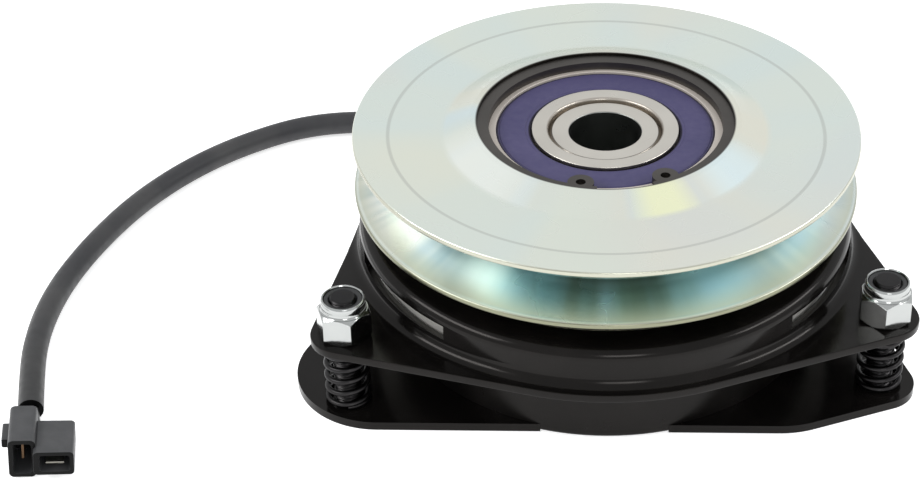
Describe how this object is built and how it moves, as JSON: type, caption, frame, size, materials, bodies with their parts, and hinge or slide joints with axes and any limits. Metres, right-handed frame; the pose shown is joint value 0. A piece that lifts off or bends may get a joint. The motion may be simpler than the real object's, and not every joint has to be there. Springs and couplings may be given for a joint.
{
  "type": "electromagnetic clutch",
  "caption": "Electromagnetic clutch and brake for a vertical crankshaft: a V-belt pulley over an armature, a coil housing and a spring-loaded brake flange, with a wired connector.",
  "frame": {"origin": "where the crankshaft's axis meets the flat engine side of the field plate", "axes": "+Z along the crankshaft's axis, from the field plate towards the pulley; -Y towards the side with two studs; the lead leaves at -X"},
  "size_m": [0.3162, 0.2237, 0.0815],
  "materials": {
    "black_paint": "satin black paint, slightly uneven",
    "pulley_zinc": "bright turned surface with a pale iridescent passivation",
    "bright_zinc": "bright zinc plate",
    "bearing_steel": "ground bearing steel",
    "machined_steel": "turned and faced steel",
    "spring_steel": "black oxide with oil",
    "dark_ring_steel": "dark phosphated spring steel",
    "seal_rubber": "moulded purple rubber, matte",
    "black_rubber": "matte black rubber",
    "sleeve_plastic": "soft vinyl sleeve, satin",
    "connector_plastic": "moulded nylon",
    "nylon_insert": "black nylon",
    "friction_lining": "moulded friction material",
    "bobbin_plastic": "moulded glass-filled nylon",
    "copper_wire": "enamelled winding wire",
    "potting_resin": "cast epoxy resin",
    "terminal_tin": "tinned terminal",
    "terminal_brass": "tarnished brass terminal",
    "cage_steel": "pressed steel cage",
    "wire_insulation": "smooth insulation"
  },
  "bodies": {
    "field": {"field_plate": "black_paint", "field_shell": "black_paint", "coil_bobbin": "bobbin_plastic", "coil_winding": "copper_wire", "potting_ring": "potting_resin", "brake_stud_1": "spring_steel", "brake_stud_2": "spring_steel", "brake_stud_3": "spring_steel", "brake_spring_1": "spring_steel", "brake_spring_2": "spring_steel", "brake_spring_3": "spring_steel", "field_bearing_outer_ring": "bearing_steel", "field_bearing_lower_seal": "seal_rubber", "field_bearing_upper_seal": "seal_rubber", "field_retaining_ring": "dark_ring_steel", "lead_grommet": "black_rubber", "lead_sleeve": "sleeve_plastic", "lead_wire_left": "wire_insulation", "lead_wire_right": "wire_insulation", "connector_housing": "connector_plastic", "connector_terminal_left": "terminal_brass", "connector_terminal_right": "terminal_tin"},
    "rotor": {"rotor_disc": "machined_steel", "rotor_hub": "machined_steel", "hub_sleeve": "bearing_steel", "field_bearing_inner_ring": "bearing_steel", "hub_retaining_ring": "dark_ring_steel", "pulley_bearing_inner_ring": "bearing_steel"},
    "pulley": {"pulley": "pulley_zinc", "pulley_bearing_outer_ring": "bearing_steel", "pulley_bearing_lower_seal": "seal_rubber", "pulley_bearing_upper_seal": "seal_rubber", "bearing_snap_ring": "dark_ring_steel", "leaf_spring_1": "machined_steel", "leaf_spring_2": "machined_steel", "leaf_spring_3": "machined_steel", "pulley_rivets": "machined_steel"},
    "armature": {"armature_plate": "machined_steel", "armature_rivets": "machined_steel"},
    "brake_flange": {"brake_flange": "black_paint", "brake_lining": "friction_lining"},
    "nut_1": {"brake_nut_1": "bright_zinc", "nut_insert_1": "nylon_insert"},
    "nut_2": {"brake_nut_2": "bright_zinc", "nut_insert_2": "nylon_insert"},
    "nut_3": {"brake_nut_3": "bright_zinc", "nut_insert_3": "nylon_insert"},
    "field_cage": {"field_bearing_cage": "cage_steel", "field_bearing_balls": "bearing_steel"},
    "pulley_cage": {"pulley_bearing_cage": "cage_steel", "pulley_bearing_balls": "bearing_steel"}
  },
  "joints": [
    {"name": "rotor_spin", "type": "hinge", "parent": "field", "child": "rotor", "pos_m": [0, 0, 0], "axis": [0, 0, 1], "continuous": true},
    {"name": "pulley_spin", "type": "hinge", "parent": "rotor", "child": "pulley", "pos_m": [0, 0, 0.066], "axis": [0, 0, 1], "continuous": true},
    {"name": "armature_travel", "type": "slide", "parent": "pulley", "child": "armature", "axis": [0, 0, -1], "range_m": [0, 0.00038], "stiffness_N_per_m": 20000, "springref_m": -0.001, "deforming": ["leaf_spring_1", "leaf_spring_2", "leaf_spring_3"]},
    {"name": "brake_gap_adjust", "type": "slide", "parent": "field", "child": "brake_flange", "axis": [0, 0, 1], "range_m": [-0.0001, 0.00159], "deforming": ["brake_spring_1", "brake_spring_2", "brake_spring_3"]},
    {"name": "nut_turn_1", "type": "hinge", "parent": "brake_flange", "child": "nut_1", "pos_m": [-0.09266, -0.0535, 0.0315], "axis": [0, 0, 1], "range_deg": [-23, 361]},
    {"name": "nut_turn_2", "type": "hinge", "parent": "brake_flange", "child": "nut_2", "pos_m": [0.09266, -0.0535, 0.0315], "axis": [0, 0, 1], "range_deg": [-23, 361]},
    {"name": "nut_turn_3", "type": "hinge", "parent": "brake_flange", "child": "nut_3", "pos_m": [0, 0.107, 0.0315], "axis": [0, 0, 1], "range_deg": [-23, 361]},
    {"name": "field_cage_spin", "type": "hinge", "parent": "field", "child": "field_cage", "pos_m": [0, 0, 0.0155], "axis": [0, 0, 1], "continuous": true},
    {"name": "pulley_cage_spin", "type": "hinge", "parent": "rotor", "child": "pulley_cage", "pos_m": [0, 0, 0.066], "axis": [0, 0, 1], "continuous": true}
  ],
  "couplings": [
    {"joint": "nut_turn_1", "follows": "brake_gap_adjust", "rad_per_m": 3957.9},
    {"joint": "nut_turn_2", "follows": "brake_gap_adjust", "rad_per_m": 3957.9},
    {"joint": "nut_turn_3", "follows": "brake_gap_adjust", "rad_per_m": 3957.9},
    {"joint": "field_cage_spin", "follows": "rotor_spin", "ratio": 0.4265},
    {"joint": "pulley_cage_spin", "follows": "pulley_spin", "ratio": 0.616}
  ]
}
